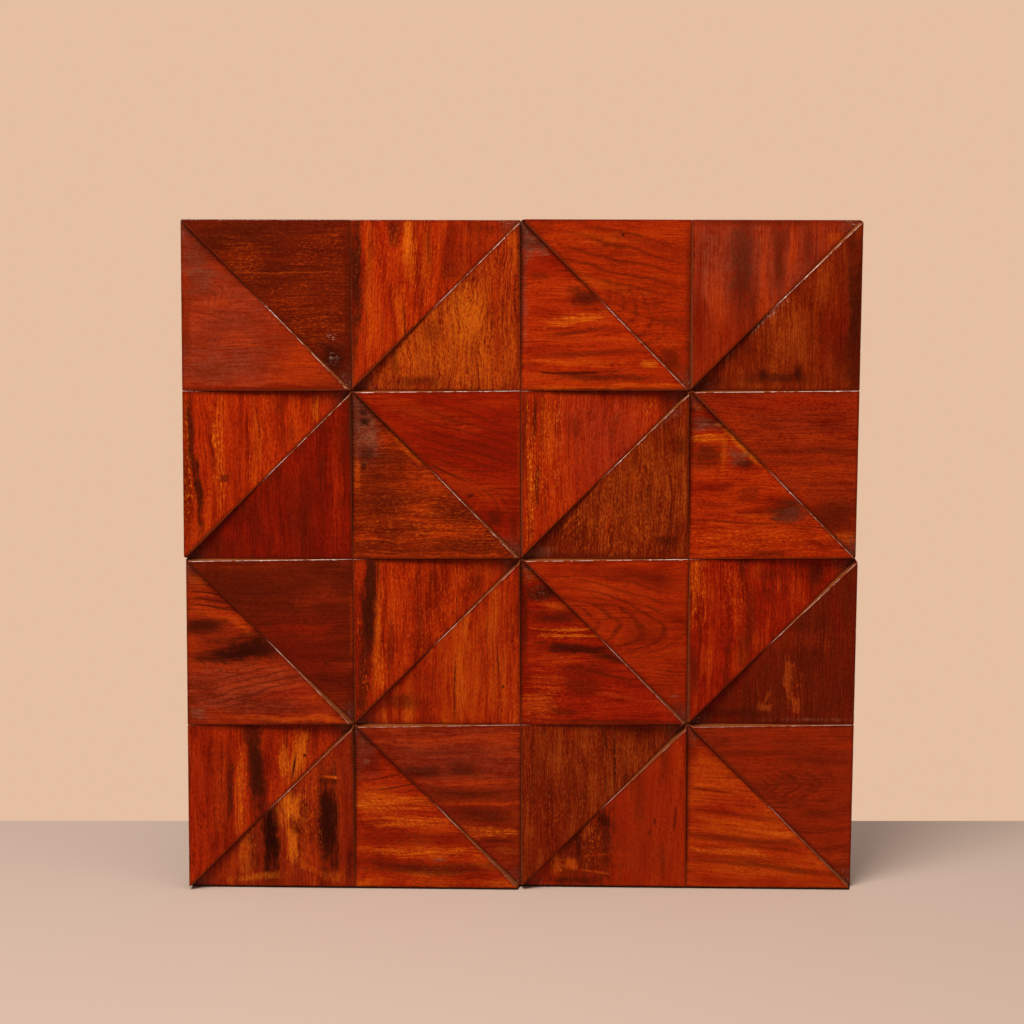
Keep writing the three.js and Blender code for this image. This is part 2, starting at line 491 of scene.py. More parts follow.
blockWood["row1_col2_upper_left"] = {
    "tones": ("maroon", "vermilion", "orange"),
    "streaks": 0.45,
    "lean": 3,
    "marks": [
        patch(17, 60, 8, 110, "amber", 0.4),
        patch(5, 48, 11, 104, "soot", 0.95),
        patch(4, 110, 6, 50, "umber", 0.6),
        patch(39, 10, 11, 24, "soot", 0.7),
        patch(52, 24, 9, 52, "golden", 0.55),
        patch(45, 84, 8, 44, "amber", 0.55),
        patch(48, 93, 1.4, 30, "umber", 0.9),
        patch(68, 36, 10, 60, "amber", 0.3),
        patch(84, 36, 7, 40, "maroon", 0.5),
        patch(92, 44, 18, 20, "umber", 0.5),
        patch(108, 24, 44, 44, "umber", 0.35),
        patch(118, 8, 60, 10, "umber", 0.4),
        patch(104, 16, 6, 26, "orange", 0.4),
        patch(70, 20, 4, 40, "umber", 0.5),
        patch(30, 34, 6, 60, "red", 0.5),
        flecks(46, 50, 70, 90, "amber", 0.35),
    ],
}
blockWood["row1_col2_lower_right"] = {
    "tones": ("brown", "russet", "amber"),
    "streaks": 0.3,
    "sway": 2.4,
    "pores": 0.6,
    "grit": 1.3,
    "marks": [
        patch(84, 112, 120, 70, "tan", 0.35),
        patch(84, 112, 120, 70, "orange", 0.35),
        patch(84, 112, 120, 70, "golden", 0.2),
        patch(106, 84, 26, 56, "golden", 0.5),
        patch(126, 50, 40, 60, "orange", 0.4),
        flecks(100, 90, 100, 130, "umber", 0.75),
        flecks(108, 96, 90, 120, "golden", 0.45),
        patch(74, 100, 16, 16, "umber", 0.4),
        patch(58, 144, 44, 9, "umber", 0.6),
        patch(38, 126, 7, 24, "umber", 0.5),
        patch(130, 96, 7, 90, "red", 0.45),
        flecks(134, 90, 26, 90, "vermilion", 0.6),
        patch(149, 100, 4, 90, "maroon", 0.5),
    ],
}
blockWood["row1_col3_lower_left"] = {
    "tones": ("maroon", "vermilion", "orange"),
    "streaks": 0.45,
    "grit": 0.8,
    "marks": [
        patch(24, 38, 40, 18, "red", 0.6),
        patch(11, 17, 26, 26, "paintedSheen", 0.9),
        patch(12, 22, 18, 7, "soot", 0.5),
        flecks(12, 20, 18, 22, "paintedSheen", 0.8),
        patch(3, 62, 5, 80, "paintedSheen", 0.5),
        patch(16, 50, 16, 7, "umber", 0.5),
        patch(58, 68, 28, 15, "soot", 0.8),
        patch(30, 68, 30, 3, "orange", 0.4, -6),
        patch(54, 87, 40, 7, "golden", 0.5, -8),
        flecks(52, 87, 44, 9, "golden", 0.6, -8),
        patch(52, 99, 52, 5, "umber", 0.65, -7),
        patch(48, 108, 84, 6, "orange", 0.4),
        patch(60, 119, 84, 4, "umber", 0.6, -4),
        patch(50, 127, 80, 5, "amber", 0.4),
        patch(114, 128, 13, 7, "golden", 0.5),
        patch(46, 135.5, 76, 2.2, "black", 0.85, -2),
        patch(76, 140, 84, 7, "umber", 0.8, 2),
        patch(74, 149, 148, 4, "amber", 0.5),
    ],
}
blockWood["row1_col3_upper_right"] = {
    "tones": ("brown", "vermilion", "orange"),
    "streaks": 0.3,
    "grit": 0.8,
    "marks": [
        patch(70, 18, 50, 9, "amber", 0.35, 8),
        patch(70, 56, 70, 9, "amber", 0.35, 14),
        patch(112, 20, 80, 8, "brown", 0.4, 12),
        lines(92, 36, 130, 64, 11, "umber", 0.65, 13),
        lines(110, 62, 90, 40, 5, "umber", 0.35, 15),
        patch(91, 16, 2.6, 2.6, "black", 0.9),
        arches(100, 88, 84, 64, 15, "umber", 0.5, 30),
        patch(106, 84, 60, 2, "umber", 0.4, 22),
        patch(134, 124, 18, 18, "umber", 0.7),
        patch(150, 76, 5, 140, "umber", 0.4),
        patch(136, 112, 18, 5, "orange", 0.5),
    ],
}
blockWood["row1_col4_upper_left"] = {
    "tones": ("maroon", "russet", "orange"),
    "streaks": 0.2,
    "grit": 0.6,
    "marks": [
        patch(60, 40, 120, 80, "paintedSheen", 0.3),
        patch(7, 80, 6, 110, "maroon", 0.6),
        patch(24, 78, 13, 110, "orange", 0.3),
        patch(45, 44, 18, 78, "umber", 0.85),
        patch(56, 80, 8, 40, "umber", 0.5),
        patch(65, 48, 9, 86, "orange", 0.55),
        patch(79, 34, 12, 54, "umber", 0.75),
        patch(92, 24, 8, 44, "orange", 0.6),
        patch(104, 22, 8, 34, "umber", 0.45),
        patch(60, 3, 120, 5, "umber", 0.4),
        patch(129, 16, 15, 10, "amber", 0.4),
        patch(34, 30, 60, 50, "paintedSheen", 0.15),
    ],
}
blockWood["row1_col4_lower_right"] = {
    "tones": ("umber", "brown", "tan"),
    "streaks": 0.35,
    "marks": [
        patch(88, 106, 42, 44, "tan", 0.4),
        patch(118, 60, 7, 40, "tan", 0.35),
        patch(130, 100, 26, 70, "maroon", 0.6),
        patch(146, 88, 13, 124, "soot", 0.9),
        patch(138, 124, 24, 40, "umber", 0.6),
        patch(78, 141, 56, 9, "soot", 0.7),
        patch(97, 136, 8, 13, "black", 0.7),
        patch(64, 137, 10, 9, "black", 0.6),
        patch(66, 91, 24, 2.6, "paintedSheen", 0.8, -45),
        patch(36, 121, 16, 2.6, "paintedSheen", 0.7, -45),
        flecks(70, 86, 34, 5, "dust", 0.5, -45),
        patch(20, 144, 30, 9, "umber", 0.6),
    ],
}
blockWood["row2_col1_upper_left"] = {
    "tones": ("maroon", "vermilion", "orange"),
    "streaks": 0.45,
    "sway": 1.4,
    "marks": [
        patch(5, 70, 8, 120, "umber", 0.55),
        flecks(5, 70, 10, 120, "amber", 0.65),
        flecks(5, 60, 8, 90, "golden", 0.25),
        patch(10, 40, 6, 70, "soot", 0.85, -3),
        patch(14, 94, 6, 66, "black", 0.85, -3),
        patch(32, 56, 9, 84, "amber", 0.35),
        flecks(32, 60, 10, 80, "golden", 0.75),
        flecks(22, 96, 8, 60, "amber", 0.5),
        patch(66, 50, 9, 66, "amber", 0.3),
        flecks(66, 50, 14, 80, "amber", 0.4),
        patch(119, 16, 6, 22, "golden", 0.4),
        patch(36, 79, 8, 7, "umber", 0.75),
        patch(86, 14, 10, 16, "umber", 0.4),
        patch(97, 38, 6, 16, "umber", 0.45),
        patch(50, 70, 8, 60, "maroon", 0.3),
        patch(75, 2, 150, 4, "umber", 0.5),
    ],
}
blockWood["row2_col1_lower_right"] = {
    "tones": ("umber", "maroon", "red"),
    "streaks": 0.35,
    "marks": [
        patch(138, 80, 9, 120, "vermilion", 0.35),
        patch(83, 115, 8, 70, "red", 0.45),
        patch(106, 110, 26, 70, "umber", 0.3),
        patch(28, 142, 50, 16, "umber", 0.45),
        patch(66, 104, 10, 50, "umber", 0.25),
    ],
}
blockWood["row2_col2_lower_left"] = {
    "tones": ("umber", "brown", "orange"),
    "streaks": 0.3,
    "sway": 1.8,
    "pores": 0.6,
    "grit": 1.2,
    "marks": [
        patch(12, 34, 24, 54, "paintedSheen", 0.85),
        flecks(11, 32, 22, 54, "soot", 0.7),
        patch(10, 20, 7, 5, "black", 0.75),
        patch(11, 28, 8, 6, "black", 0.9),
        patch(13, 57, 13, 13, "soot", 0.75),
        patch(10, 68, 5, 6, "black", 0.7),
        patch(4, 76, 6, 26, "amber", 0.5),
        patch(48, 52, 46, 5, "amber", 0.55, 44),
        patch(66, 86, 50, 22, "orange", 0.3),
        patch(33, 106, 28, 26, "umber", 0.6),
        patch(58, 92, 20, 9, "umber", 0.4),
        patch(96, 124, 60, 16, "orange", 0.3),
        flecks(80, 120, 130, 56, "amber", 0.35),
        patch(70, 149, 150, 3, "orange", 0.4),
        lines(80, 128, 110, 30, 3, "umber", 0.4),
    ],
}
blockWood["row2_col2_upper_right"] = {
    "tones": ("maroon", "red", "vermilion"),
    "streaks": 0.25,
    "grit": 0.6,
    "marks": [
        patch(58, 18, 80, 14, "orange", 0.4, 14),
        patch(112, 52, 90, 14, "maroon", 0.5, 16),
        patch(104, 86, 70, 20, "orange", 0.45, 24),
        lines(100, 44, 120, 80, 8, "umber", 0.55, 17),
        patch(86, 74, 30, 2, "soot", 0.7, 24),
        arches(120, 102, 56, 40, 9, "umber", 0.5, 10),
        patch(107, 95, 7, 5, "soot", 0.8),
        patch(129, 116, 13, 14, "umber", 0.7),
        patch(146, 122, 7, 22, "umber", 0.6),
        patch(151, 75, 3, 130, "orange", 0.45),
        patch(139, 140, 18, 14, "paintedSheen", 0.4),
    ],
}
blockWood["row2_col3_upper_left"] = {
    "tones": ("maroon", "vermilion", "orange"),
    "streaks": 0.35,
    "marks": [
        patch(80, 54, 44, 90, "red", 0.4),
        patch(74, 50, 70, 90, "paintedSheen", 0.16),
        patch(60, 90, 26, 60, "red", 0.3),
        patch(24, 36, 12, 60, "amber", 0.35),
        patch(3, 40, 5, 76, "umber", 0.6),
        patch(12.5, 22, 4, 36, "soot", 0.8),
        patch(15, 86, 4, 44, "umber", 0.8),
        patch(8, 90, 4, 110, "amber", 0.5),
        flecks(9, 84, 7, 124, "golden", 0.9),
        flecks(24, 56, 20, 90, "golden", 0.4),
        patch(42, 80, 7, 44, "orange", 0.4),
        patch(50, 33, 9, 18, "umber", 0.4),
        patch(84, 34, 8, 20, "umber", 0.35),
        flecks(115, 15, 12, 18, "golden", 0.55),
        patch(132, 12, 18, 16, "umber", 0.5),
        patch(75, 2, 150, 4, "umber", 0.55),
    ],
}
blockWood["row2_col3_lower_right"] = {
    "tones": ("umber", "brown", "tan"),
    "streaks": 0.3,
    "sway": 2,
    "pores": 0.6,
    "grit": 1.3,
    "marks": [
        patch(90, 96, 80, 60, "tan", 0.3),
        flecks(86, 100, 110, 100, "amber", 0.5),
        flecks(100, 80, 90, 100, "soot", 0.3),
        patch(78, 118, 4, 30, "orange", 0.4),
        patch(103, 88, 4, 22, "orange", 0.4),
        patch(144, 50, 14, 18, "umber", 0.7),
        patch(132, 136, 24, 9, "soot", 0.6),
        patch(150, 120, 4, 60, "umber", 0.5),
        patch(44, 117, 30, 2.4, "amber", 0.5, -42),
        patch(50, 121, 24, 1.6, "amber", 0.4, -42),
        patch(16, 146, 22, 8, "paintedSheen", 0.7),
        patch(60, 149, 90, 4, "umber", 0.5),
        patch(132, 24, 22, 7, "paintedSheen", 0.4, -40),
    ],
}
blockWood["row2_col4_lower_left"] = {
    "tones": ("maroon", "vermilion", "orange"),
    "streaks": 0.35,
    "marks": [
        patch(70, 130, 140, 26, "orange", 0.3),
        patch(6, 15, 12, 9, "amber", 0.5),
        patch(16, 28, 28, 10, "soot", 0.6),
        patch(18, 30, 26, 10, "paintedSheen", 0.7),
        patch(17, 43, 30, 6, "golden", 0.5),
        flecks(15, 42, 28, 8, "golden", 0.5),
        patch(16, 59, 30, 18, "soot", 0.7),
        patch(31, 59, 5, 26, "amber", 0.5),
        patch(47, 50, 44, 6, "golden", 0.85, 44),
        patch(46, 62, 18, 16, "umber", 0.6),
        patch(44, 60, 16, 14, "paintedSheen", 0.6),
        patch(50, 67, 13, 7, "black", 0.6),
        patch(34, 76, 50, 4, "orange", 0.45),
        patch(22, 86, 36, 8, "maroon", 0.85),
        patch(54, 94, 18, 14, "umber", 0.5),
        patch(22, 102, 34, 6, "maroon", 0.6),
        patch(89, 108, 31, 22, "umber", 1.0),
        patch(92, 111, 26, 16, "paintedSheen", 0.3),
        patch(60, 112, 32, 4, "amber", 0.4),
        patch(70, 120, 140, 1.6, "umber", 0.6, 3),
        flecks(60, 134, 130, 24, "amber", 0.5),
        patch(74, 147, 34, 6, "umber", 0.75),
    ],
}
blockWood["row2_col4_upper_right"] = {
    "tones": ("maroon", "russet", "vermilion"),
    "streaks": 0.35,
    "marks": [
        patch(110, 42, 100, 9, "orange", 0.4),
        patch(116, 78, 80, 22, "orange", 0.3),
        patch(104, 54, 96, 5, "umber", 0.45),
        patch(112, 66, 70, 4, "umber", 0.3),
        patch(80, 12, 130, 14, "red", 0.4),
        patch(130, 114, 48, 28, "umber", 0.75),
        patch(142, 134, 20, 12, "amber", 0.6),
    ],
}
blockWood["row3_col1_lower_left"] = {
    "tones": ("umber", "russet", "orange"),
    "streaks": 0.3,
    "sway": 1.4,
    "grit": 0.8,
    "marks": [
        patch(14, 18, 22, 14, "amber", 0.5),
        patch(32, 50, 60, 12, "orange", 0.6, 20),
        patch(20, 31, 34, 1.6, "soot", 0.85, 5),
        patch(22, 38, 36, 1.5, "soot", 0.75, 6),
        patch(26, 45, 42, 1.8, "soot", 0.8, 6),
        patch(14, 50, 26, 3, "amber", 0.4, 4),
        patch(50, 62, 30, 5, "amber", 0.4, 42),
        patch(18, 61, 38, 13, "soot", 0.9),
        patch(36, 74, 40, 7, "umber", 0.6, -4),
        patch(18, 90, 30, 10, "soot", 0.7),
        patch(34, 88, 56, 14, "soot", 0.6, -6),
        patch(56, 83, 62, 22, "black", 0.9, -12),
        patch(50, 118, 96, 40, "paintedSheen", 0.25),
        lines(62, 116, 116, 44, 6, "umber", 0.65, -14),
        patch(90, 124, 60, 10, "red", 0.4, -8),
        patch(102, 146, 80, 5, "amber", 0.45),
        patch(10, 140, 18, 9, "paintedSheen", 0.7),
    ],
}
blockWood["row3_col1_upper_right"] = {
    "tones": ("umber", "cocoa", "russet"),
    "streaks": 0.25,
    "grit": 0.8,
    "marks": [
        patch(60, 20, 110, 20, "umber", 0.4),
        patch(44, 38, 16, 12, "soot", 0.3),
        lines(114, 48, 56, 24, 4, "umber", 0.7),
        patch(106, 84, 80, 70, "maroon", 0.45),
        patch(100, 64, 60, 8, "red", 0.4),
        patch(151, 60, 3, 64, "orange", 0.5),
        patch(127, 97, 3.4, 2.6, "black", 0.8),
        patch(124, 110, 12, 6, "umber", 0.6),
        patch(134, 130, 26, 5, "russet", 0.6, 44),
    ],
}
blockWood["row3_col2_upper_left"] = {
    "tones": ("maroon", "vermilion", "orange"),
    "streaks": 0.4,
    "pores": 0.4,
    "marks": [
        patch(22, 70, 9, 96, "amber", 0.45),
        patch(5, 80, 9, 150, "maroon", 0.6),
        flecks(5, 60, 7, 120, "orange", 0.7),
        patch(23, 66, 5, 80, "amber", 0.6),
        flecks(23, 72, 5, 80, "golden", 0.35),
        flecks(24, 100, 12, 50, "golden", 0.3),
        patch(15, 40, 13, 130, "soot", 1.0, 2),
        patch(15, 40, 10, 110, "soot", 0.8, 2),
        patch(9, 112, 9, 70, "umber", 0.9, 4),
        flecks(11, 108, 5, 30, "orange", 0.7),
        patch(34, 80, 6, 44, "umber", 0.5),
        patch(36, 30, 7, 44, "orange", 0.35),
        patch(60, 60, 7, 44, "umber", 0.35),
        patch(73, 18, 9, 15, "umber", 0.5),
        patch(96, 18, 12, 20, "orange", 0.3),
        patch(110, 22, 16, 20, "umber", 0.6),
        flecks(74, 50, 80, 90, "amber", 0.35),
        patch(75, 2, 150, 4, "umber", 0.5),
    ],
}
blockWood["row3_col2_lower_right"] = {
    "tones": ("maroon", "vermilion", "amber"),
    "streaks": 0.4,
    "marks": [
        patch(103, 62, 7, 36, "golden", 0.55),
        patch(118, 90, 60, 116, "orange", 0.45),
        patch(98, 112, 12, 66, "amber", 0.85, 3),
        patch(92.5, 122, 1.4, 54, "umber", 0.95, 4),
        lines(126, 70, 120, 30, 5, "umber", 0.45, 90),
        patch(136, 112, 7, 44, "amber", 0.5),
        patch(131, 96, 1.6, 36, "umber", 0.8),
        patch(136, 117, 2.8, 2.8, "black", 0.9),
        patch(44, 131, 34, 14, "soot", 0.6),
        patch(62, 112, 18, 20, "maroon", 0.5),
        patch(110, 138, 20, 16, "orange", 0.3),
        flecks(100, 100, 90, 100, "amber", 0.4),
        flecks(90, 100, 90, 100, "maroon", 0.5),
    ],
}
blockWood["row3_col3_lower_left"] = {
    "tones": ("maroon", "red", "vermilion"),
    "streaks": 0.35,
    "marks": [
        patch(9, 16, 14, 11, "amber", 0.5),
        patch(20, 31, 28, 13, "soot", 0.9),
        flecks(22, 30, 24, 11, "paintedSheen", 0.9),
        patch(32, 42, 24, 7, "amber", 0.5),
        patch(30, 53, 42, 12, "soot", 0.75),
        patch(43, 65, 50, 2, "golden", 0.6),
        patch(46, 70, 50, 2, "golden", 0.6),
        flecks(44, 68, 54, 10, "amber", 0.6),
        patch(52, 82, 66, 9, "black", 0.85, 3),
        patch(84, 91, 30, 8, "soot", 0.8, 12),
        patch(46, 96, 60, 8, "vermilion", 0.5),
        patch(24, 112, 30, 14, "orange", 0.5),
        patch(56, 118, 30, 14, "umber", 0.6),
        patch(84, 108, 40, 4, "umber", 0.6, 14),
        patch(60, 102, 44, 14, "soot", 0.4),
        patch(34, 92, 34, 9, "orange", 0.45),
        patch(16, 134, 26, 22, "amber", 0.4),
        flecks(20, 128, 34, 40, "golden", 0.25),
        patch(40, 140, 24, 8, "umber", 0.6),
        patch(96, 128, 50, 4, "orange", 0.4, 10),
        patch(78, 149, 100, 4, "umber", 0.7),
        patch(4, 60, 5, 60, "umber", 0.7),
    ],
}
blockWood["row3_col3_upper_right"] = {
    "tones": ("maroon", "vermilion", "orange"),
    "streaks": 0.2,
    "grit": 0.6,
    "marks": [
        patch(110, 16, 70, 14, "umber", 0.4, 8),
        lines(96, 30, 120, 30, 9, "umber", 0.5, 14),
        arches(92, 63, 140, 72, 19, "umber", 0.65, 5),
        patch(112, 66, 30, 20, "brown", 0.35),
        patch(80, 79, 50, 1.6, "umber", 0.6, -4),
        patch(72, 42, 90, 1.6, "umber", 0.5, 9),
        lines(136, 106, 28, 18, 3, "umber", 0.8),
        patch(141, 126, 8, 2.6, "paintedSheen", 0.8),
        patch(134, 140, 26, 10, "umber", 0.5),
        patch(94, 92, 30, 4, "orange", 0.4, -14),
    ],
}
blockWood["row3_col4_upper_left"] = {
    "tones": ("umber", "red", "orange"),
    "streaks": 0.35,
    "marks": [
        patch(7, 22, 9, 40, "amber", 0.4),
        flecks(8, 30, 11, 60, "golden", 0.65),
        patch(11, 5, 14, 7, "amber", 0.4),
        flecks(40, 30, 26, 60, "amber", 0.5),
        patch(56, 58, 10, 56, "umber", 0.6),
        patch(50, 84, 12, 34, "umber", 0.5),
        patch(74, 14, 22, 9, "umber", 0.5),
        patch(116, 13, 14, 20, "soot", 0.7),
        patch(82, 22, 5, 14, "orange", 0.6),
        patch(101, 30, 5, 24, "orange", 0.4),
        patch(64, 76, 10, 16, "orange", 0.6),
        patch(6, 104, 9, 36, "umber", 0.6),
        patch(30, 70, 12, 80, "red", 0.4),
    ],
}
blockWood["row3_col4_lower_right"] = {
    "tones": ("umber", "cocoa", "maroon"),
    "streaks": 0.25,
    "marks": [
        patch(110, 74, 60, 16, "russet", 0.35),
        patch(92, 104, 8, 24, "tan", 0.7, 4),
        patch(92, 120, 6, 24, "tan", 0.6, -8),
        patch(98, 134, 7, 13, "tan", 0.8, -14),
        flecks(95, 116, 16, 50, "orange", 0.5),
        patch(69, 137, 13, 6, "tan", 0.75),
        patch(71, 127, 3, 12, "tan", 0.6, 20),
        patch(84, 96, 6, 26, "russet", 0.3),
        patch(40, 142, 60, 9, "soot", 0.5),
        patch(112, 148, 60, 3, "paintedSheen", 0.6),
    ],
}
blockWood["row4_col1_upper_left"] = {
    "tones": ("maroon", "vermilion", "orange"),
    "streaks": 0.4,
    "pores": 0.5,
    "marks": [
        patch(10, 70, 16, 110, "red", 0.45),
        patch(29, 64, 10, 76, "orange", 0.5),
        flecks(26, 66, 26, 100, "umber", 0.7),
        patch(38, 62, 6, 54, "soot", 0.8),
        patch(47, 66, 7, 70, "amber", 0.55),
        flecks(48, 64, 10, 80, "golden", 0.5),
        patch(63, 40, 14, 110, "soot", 1.0, -4),
        patch(58, 8, 16, 20, "umber", 0.8),
        patch(76, 30, 8, 40, "maroon", 0.5),
        patch(87, 34, 8, 30, "golden", 0.6),
        patch(102, 28, 14, 40, "golden", 0.75, 12),
        patch(104, 16, 10, 22, "amber", 0.45),
        patch(97, 38, 2.2, 24, "soot", 0.95, 12),
        patch(108, 29, 3, 2.6, "black", 0.95),
        patch(116, 22, 6, 26, "orange", 0.4),
        patch(75, 3, 140, 4, "umber", 0.5),
    ],
}
blockWood["row4_col1_lower_right"] = {
    "tones": ("umber", "russet", "orange"),
    "streaks": 0.35,
    "marks": [
        patch(50, 122, 11, 44, "amber", 0.6),
        flecks(53, 120, 14, 50, "golden", 0.6),
        patch(108, 106, 16, 50, "orange", 0.4),
        patch(74, 108, 15, 78, "black", 1.0, -2),
        patch(93, 78, 21, 26, "golden", 0.95),
        patch(95, 110, 10, 36, "golden", 0.85, -5),
        patch(100, 98, 9, 7, "umber", 0.7),
        patch(110, 134, 34, 6, "amber", 0.6, 28),
        patch(133, 142, 17, 10, "amber", 0.7),
        patch(60, 143, 44, 6, "golden", 0.5, -6),
        patch(128, 88, 17, 96, "black", 0.95),
        patch(144, 90, 10, 90, "maroon", 0.6),
        patch(131, 48, 14, 2.4, "amber", 0.9, 6),
        flecks(110, 86, 20, 70, "amber", 0.6),
        flecks(64, 136, 60, 26, "soot", 0.6),
        patch(138, 20, 18, 20, "maroon", 0.5),
    ],
}
blockWood["row4_col2_lower_left"] = {
    "tones": ("maroon", "vermilion", "amber"),
    "streaks": 0.3,
    "marks": [
        patch(10, 26, 18, 40, "umber", 0.4),
        patch(10, 26, 20, 40, "paintedSheen", 0.5),
        patch(14, 36, 18, 18, "maroon", 0.8),
        patch(11, 35, 6, 5, "paintedSheen", 0.8),
        patch(30, 48, 40, 1.6, "umber", 0.7, -10),
        patch(40, 57, 40, 1.8, "umber", 0.75, -8),
        patch(10, 74, 20, 8, "golden", 0.45),
        patch(44, 73, 60, 9, "amber", 0.6),
        flecks(30, 76, 60, 16, "golden", 0.4),
        patch(52, 92, 76, 8, "amber", 0.6),
        flecks(44, 92, 60, 9, "golden", 0.4),
        patch(54, 83, 80, 3, "red", 0.6),
        patch(54, 106, 110, 12, "maroon", 0.7),
        patch(54, 119, 100, 8, "amber", 0.6),
        flecks(60, 119, 90, 7, "golden", 0.5),
        patch(120, 130, 24, 7, "amber", 0.5, 16),
        patch(70, 133, 120, 12, "soot", 0.7),
        patch(70, 145, 130, 5, "orange", 0.4),
        patch(78, 126, 11, 3, "paintedSheen", 0.8),
    ],
}
blockWood["row4_col2_upper_right"] = {
    "tones": ("maroon", "russet", "orange"),
    "streaks": 0.3,
    "grit": 0.8,
    "marks": [
        patch(90, 30, 120, 50, "paintedSheen", 0.2),
        patch(96, 14, 110, 10, "orange", 0.5),
        patch(88, 26, 90, 4, "umber", 0.4),
        patch(62, 43, 32, 11, "soot", 0.65),
        patch(100, 42, 28, 12, "soot", 0.65),
        patch(104, 54, 90, 5, "orange", 0.6),
        patch(106, 65, 80, 11, "soot", 0.6),
        patch(120, 74, 60, 4, "orange", 0.7),
        patch(116, 84, 64, 14, "soot", 0.6),
        patch(124, 99, 42, 8, "amber", 0.5),
        flecks(124, 99, 44, 10, "golden", 0.7),
        patch(132, 110, 34, 6, "umber", 0.7),
        patch(140, 120, 20, 6, "tan", 0.5),
    ],
}
blockWood["row4_col3_upper_left"] = {
    "tones": ("umber", "brown", "tan"),
    "streaks": 0.35,
    "sway": 1.3,
    "pores": 0.5,
    "grit": 1.1,
    "marks": [
        patch(26, 90, 30, 64, "maroon", 0.45),
        patch(6, 40, 7, 60, "russet", 0.5),
        patch(45, 12, 8, 18, "russet", 0.7),
        patch(106, 30, 30, 30, "tan", 0.4),
        patch(78, 14, 4, 20, "soot", 0.8),
        patch(86, 34, 2.4, 54, "soot", 0.9),
        patch(78, 56, 3, 18, "soot", 0.6),
        flecks(60, 50, 120, 100, "tan", 0.65),
        flecks(60, 50, 120, 100, "soot", 0.3),
    ],
}
blockWood["row4_col3_lower_right"] = {
    "tones": ("red", "vermilion", "orange"),
    "streaks": 0.2,
    "grit": 0.6,
    "marks": [
        patch(116, 76, 70, 130, "russet", 0.35),
        patch(57, 116, 58, 84, "cocoa", 0.95),
        patch(61, 96, 7, 22, "tan", 0.6),
        flecks(60, 104, 26, 40, "tan", 0.5),
        patch(77, 90, 14, 22, "black", 0.8),
        patch(79, 116, 8, 34, "soot", 0.6),
        patch(33, 128, 7, 24, "amber", 0.75),
        flecks(34, 126, 12, 30, "golden", 0.7),
        patch(47, 131, 10, 10, "amber", 0.85),
        flecks(62, 112, 20, 50, "amber", 0.6),
        patch(54, 114, 7, 24, "soot", 0.8),
        patch(48, 146, 50, 6, "soot", 0.6),
        patch(68, 138, 26, 2.4, "amber", 0.5, 8),
        patch(72, 122, 20, 2, "orange", 0.5, -6),
        patch(108, 62, 12, 60, "umber", 0.4, -4),
        patch(132, 26, 9, 50, "umber", 0.5),
        patch(146, 24, 5, 40, "orange", 0.5),
        patch(120, 101, 2, 6, "soot", 0.8),
        patch(124, 90, 2, 5, "soot", 0.7),
        patch(141, 88, 2.4, 22, "soot", 0.6, 8),
        patch(110, 122, 44, 50, "russet", 0.4),
        patch(130, 130, 5, 40, "umber", 0.35),
    ],
}
blockWood["row4_col4_lower_left"] = {
    "tones": ("red", "orange", "amber"),
    "streaks": 0.2,
    "lean": 5,
    "grit": 0.7,
    "marks": [
        patch(30, 42, 44, 22, "amber", 0.35),
        patch(24, 62, 40, 2.4, "maroon", 0.8, 6),
        lines(28, 70, 42, 10, 3.5, "maroon", 0.7, 4),
        patch(48, 85, 96, 5, "maroon", 0.6, 6),
        patch(58, 97, 90, 11, "amber", 0.5, 6),
        patch(84, 100, 30, 6, "golden", 0.35, 8),
        patch(56, 107, 112, 7, "umber", 0.6, 5),
        patch(76, 115, 60, 4, "umber", 0.5, 8),
        patch(36, 119, 66, 5, "amber", 0.5, 4),
        flecks(38, 119, 70, 6, "golden", 0.5),
        patch(52, 126, 90, 5, "maroon", 0.6, 5),
        patch(78, 133, 150, 5, "umber", 0.6, 6),
        patch(75, 147, 144, 8, "red", 0.5),
        patch(6, 26, 10, 18, "maroon", 0.5),
    ],
}
blockWood["row4_col4_upper_right"] = {
    "tones": ("cocoa", "russet", "vermilion"),
    "streaks": 0.2,
    "grit": 0.6,
    "marks": [
        arches(92, 56, 60, 36, 10, "umber", 0.6, 4),
        arches(108, 58, 70, 60, 20, "umber", 0.4, 4),
        patch(66, 27, 80, 7, "umber", 0.5),
        patch(104, 34, 50, 5, "umber", 0.35),
        patch(122, 82, 30, 7, "umber", 0.5),
        patch(130, 98, 40, 4, "umber", 0.4),
        patch(138, 124, 24, 10, "orange", 0.35),
        patch(90, 10, 100, 7, "vermilion", 0.3),
    ],
}

